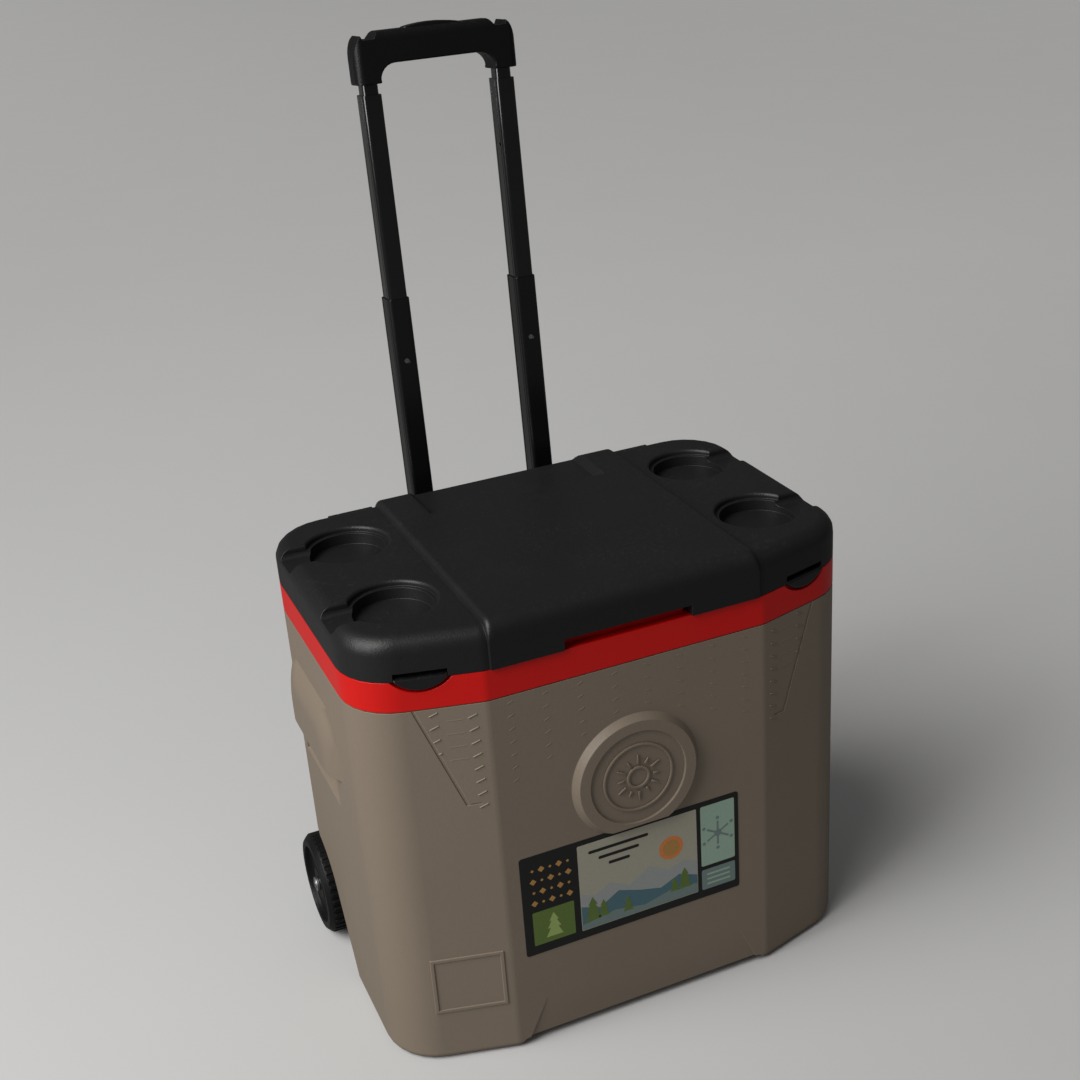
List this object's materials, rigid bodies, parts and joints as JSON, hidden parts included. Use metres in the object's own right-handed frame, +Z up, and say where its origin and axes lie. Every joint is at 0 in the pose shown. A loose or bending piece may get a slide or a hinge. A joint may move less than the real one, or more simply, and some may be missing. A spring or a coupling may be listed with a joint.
{
  "type": "cooler on wheels",
  "caption": "Hard-sided cooler with a hinged lid holding drinks, moulded side grips, rear wheels and a telescoping pull handle",
  "frame": {"origin": "middle of the footprint of the whole object, on the floor it stands on", "axes": "+X to the right seen from the front, -Y to the front with the label, +Y to the wheels and the handle, +Z up"},
  "size_m": [0.464, 0.362, 0.8131],
  "materials": {
    "shell": "matte",
    "rim_red": "satin",
    "lid_black": "matte",
    "tab_black": "satin",
    "liner_white": "satin",
    "foam": "matte",
    "label": "satin",
    "hinge_black": "satin",
    "steel": "satin",
    "zinc": "satin",
    "wheel_black": "matte",
    "tube_black": "satin",
    "bracket_black": "matte",
    "glide": "satin",
    "grip_black": "matte",
    "button_black": "satin"
  },
  "bodies": {
    "cooler": {"outer_shell": "shell", "body_foam": "foam", "liner": "liner_white", "rim": "rim_red", "front_label": "label", "hinge_bracket_left": "hinge_black", "hinge_bracket_right": "hinge_black", "hinge_screws": "zinc", "axle": "steel", "axle_tube": "glide", "axle_washers": "zinc", "axle_caps": "zinc", "fixed_tube_left": "tube_black", "fixed_tube_right": "tube_black", "fixed_tube_collars": "bracket_black", "upper_bracket": "bracket_black", "lower_bracket": "bracket_black", "bracket_screws": "zinc"},
    "lid": {"lid_shell": "lid_black", "lid_foam": "foam", "lid_liner": "liner_white", "lid_tab_left": "tab_black", "lid_tab_right": "tab_black", "hinge_pins": "steel"},
    "left_wheel": {"wheel_left": "wheel_black"},
    "right_wheel": {"wheel_right": "wheel_black"},
    "middle_stage": {"middle_tube_left": "tube_black", "middle_tube_right": "tube_black", "middle_glides": "glide", "lower_pin_springs": "steel"},
    "lower_pins": {"lower_lock_pins": "steel"},
    "top_stage": {"top_tube_left": "tube_black", "top_tube_right": "tube_black", "top_glides": "glide", "upper_pin_springs": "steel", "grip_front": "grip_black", "grip_back": "grip_black", "grip_screws": "zinc", "button_spring": "steel"},
    "upper_pins": {"upper_lock_pins": "steel"},
    "button": {"release_button": "button_black", "push_rods": "steel"}
  },
  "joints": [
    {"name": "lid_hinge", "type": "hinge", "parent": "cooler", "child": "lid", "pos_m": [0, 0.10695, 0.401], "axis": [-1, 0, 0], "range_deg": [0, 90]},
    {"name": "left_wheel_spin", "type": "hinge", "parent": "cooler", "child": "left_wheel", "pos_m": [-0.216, 0.07046, 0.0485], "axis": [1, 0, 0], "continuous": true},
    {"name": "right_wheel_spin", "type": "hinge", "parent": "cooler", "child": "right_wheel", "pos_m": [0.216, 0.07046, 0.0485], "axis": [1, 0, 0], "continuous": true},
    {"name": "middle_stage_slide", "type": "slide", "parent": "cooler", "child": "middle_stage", "axis": [0, 0.061, 0.9981], "range_m": [-0.207, 0]},
    {"name": "top_stage_slide", "type": "slide", "parent": "middle_stage", "child": "top_stage", "axis": [0, 0.061, 0.9981], "range_m": [-0.1725, 0]},
    {"name": "lower_pin_slide", "type": "slide", "parent": "middle_stage", "child": "lower_pins", "axis": [0, 0.9981, -0.061], "range_m": [0, 0.0025], "stiffness_N_per_m": 300, "springref_m": -0.001},
    {"name": "button_press", "type": "slide", "parent": "top_stage", "child": "button", "axis": [0, -0.061, -0.9981], "range_m": [0, 0.004], "stiffness_N_per_m": 600, "springref_m": -0.002},
    {"name": "upper_pin_slide", "type": "slide", "parent": "top_stage", "child": "upper_pins", "axis": [0, 0.9981, -0.061], "range_m": [0, 0.0025]}
  ],
  "couplings": [
    {"joint": "upper_pin_slide", "follows": "button_press", "ratio": 0.6}
  ]
}
